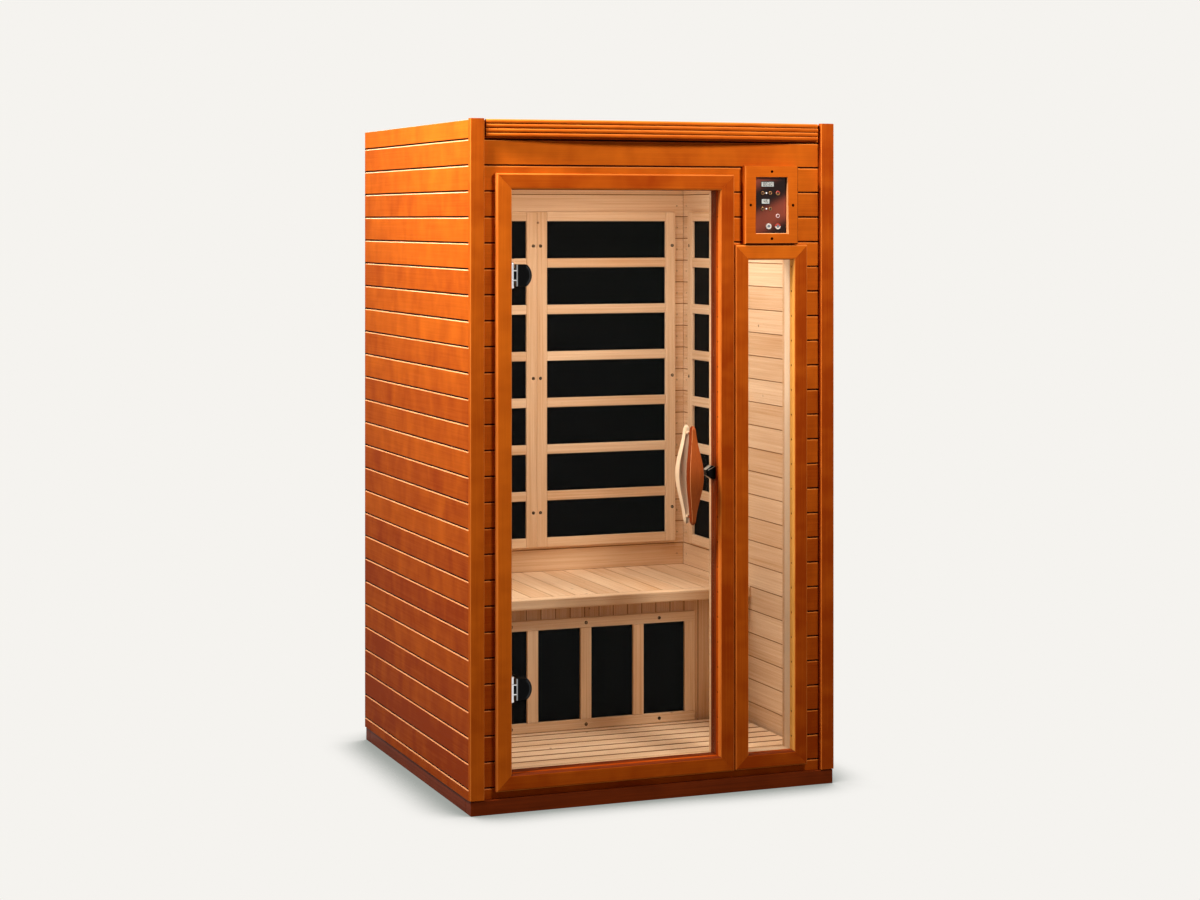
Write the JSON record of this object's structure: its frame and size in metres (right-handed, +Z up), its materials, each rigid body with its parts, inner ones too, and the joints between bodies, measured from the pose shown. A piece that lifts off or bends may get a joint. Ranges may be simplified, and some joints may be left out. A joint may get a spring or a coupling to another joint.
{
  "type": "infrared sauna cabin",
  "caption": "Free-standing timber infrared sauna cabin with a hinged glass door, a tall side window, black heater panels behind grilles, a bench and a push-button control panel.",
  "frame": {"origin": "middle of the plinth's underside, on the floor", "axes": "+Z up; -Y out of the door side; +X to the right for someone facing the door"},
  "size_m": [1.11, 1.0203, 1.9],
  "materials": {
    "stained_wood": "orange-brown stain under gloss lacquer",
    "dark_stained_wood": "dark red-brown stain, satin lacquer",
    "hemlock": "planed, untreated",
    "carbon_panel": "black laminate, satin",
    "clear_glass": "clear toughened, polished edges",
    "chrome": "polished plate",
    "black_metal": "black enamel",
    "zinc_steel": "zinc plated",
    "panel_face": "printed, glossy",
    "display_window": "clear window over a pale display",
    "dark_key": "glossy",
    "red_key": "glossy",
    "pale_key": "glossy",
    "black_plastic": "moulded, fine grain",
    "lamp_cover": "frosted white"
  },
  "bodies": {
    "cabin": {"left_wall_cladding": "stained_wood", "right_wall_cladding": "stained_wood", "rear_wall_cladding": "stained_wood", "front_wall_cladding": "stained_wood", "left_corner_post": "stained_wood", "right_corner_post": "stained_wood", "front_visor": "stained_wood", "door_frame_head": "stained_wood", "door_frame_sill": "stained_wood", "door_frame_left": "stained_wood", "door_frame_right": "stained_wood", "window_frame": "stained_wood", "control_frame": "stained_wood", "roof_panel": "stained_wood", "plinth": "dark_stained_wood", "left_wall_lining": "hemlock", "right_wall_lining": "hemlock", "rear_wall_lining": "hemlock", "front_wall_lining": "hemlock", "ceiling_panel": "hemlock", "left_heater_grille": "hemlock", "right_heater_grille": "hemlock", "rear_left_heater_grille": "hemlock", "rear_right_heater_grille": "hemlock", "leg_heater_grille": "hemlock", "bench_seat": "hemlock", "bench_kick_panel": "hemlock", "floor_duckboard": "hemlock", "left_heater_element": "carbon_panel", "right_heater_element": "carbon_panel", "rear_left_heater_element": "carbon_panel", "rear_right_heater_element": "carbon_panel", "leg_heater_element": "carbon_panel", "window_glass": "clear_glass", "upper_hinge_leaf": "chrome", "lower_hinge_leaf": "chrome", "upper_hinge_pin": "zinc_steel", "lower_hinge_pin": "zinc_steel", "supply_box": "zinc_steel", "control_plate": "panel_face", "time_display": "display_window", "heat_display": "display_window", "door_catch": "black_plastic", "cable_gland": "black_plastic", "ceiling_light": "lamp_cover"},
    "door": {"door_glass": "clear_glass", "upper_hinge_clamp": "black_metal", "lower_hinge_clamp": "black_metal", "outer_handle": "stained_wood", "inner_handle": "hemlock", "upper_handle_bolt": "zinc_steel", "lower_handle_bolt": "zinc_steel", "catch_strike": "black_metal"},
    "time_down_button": {"time_down_button": "dark_key"},
    "time_up_button": {"time_up_button": "dark_key"},
    "power_button": {"power_button": "red_key"},
    "heat_down_button": {"heat_down_button": "dark_key"},
    "heat_up_button": {"heat_up_button": "dark_key"},
    "lamp_button": {"lamp_button": "pale_key"},
    "sound_button": {"sound_button": "red_key"}
  },
  "joints": [
    {"name": "door_hinge", "type": "hinge", "parent": "cabin", "child": "door", "pos_m": [-0.421, -0.463, 0.9], "axis": [0, 0, -1], "range_deg": [0, 90]},
    {"name": "time_down_button_press", "type": "slide", "parent": "cabin", "child": "time_down_button", "axis": [0, 1, 0], "range_m": [0, 0.001], "stiffness_N_per_m": 1200},
    {"name": "time_up_button_press", "type": "slide", "parent": "cabin", "child": "time_up_button", "axis": [0, 1, 0], "range_m": [0, 0.001], "stiffness_N_per_m": 1200},
    {"name": "power_button_press", "type": "slide", "parent": "cabin", "child": "power_button", "axis": [0, 1, 0], "range_m": [0, 0.001], "stiffness_N_per_m": 1200},
    {"name": "heat_down_button_press", "type": "slide", "parent": "cabin", "child": "heat_down_button", "axis": [0, 1, 0], "range_m": [0, 0.001], "stiffness_N_per_m": 1200},
    {"name": "heat_up_button_press", "type": "slide", "parent": "cabin", "child": "heat_up_button", "axis": [0, 1, 0], "range_m": [0, 0.001], "stiffness_N_per_m": 1200},
    {"name": "lamp_button_press", "type": "slide", "parent": "cabin", "child": "lamp_button", "axis": [0, 1, 0], "range_m": [0, 0.001], "stiffness_N_per_m": 1200},
    {"name": "sound_button_press", "type": "slide", "parent": "cabin", "child": "sound_button", "axis": [0, 1, 0], "range_m": [0, 0.001], "stiffness_N_per_m": 1200}
  ]
}
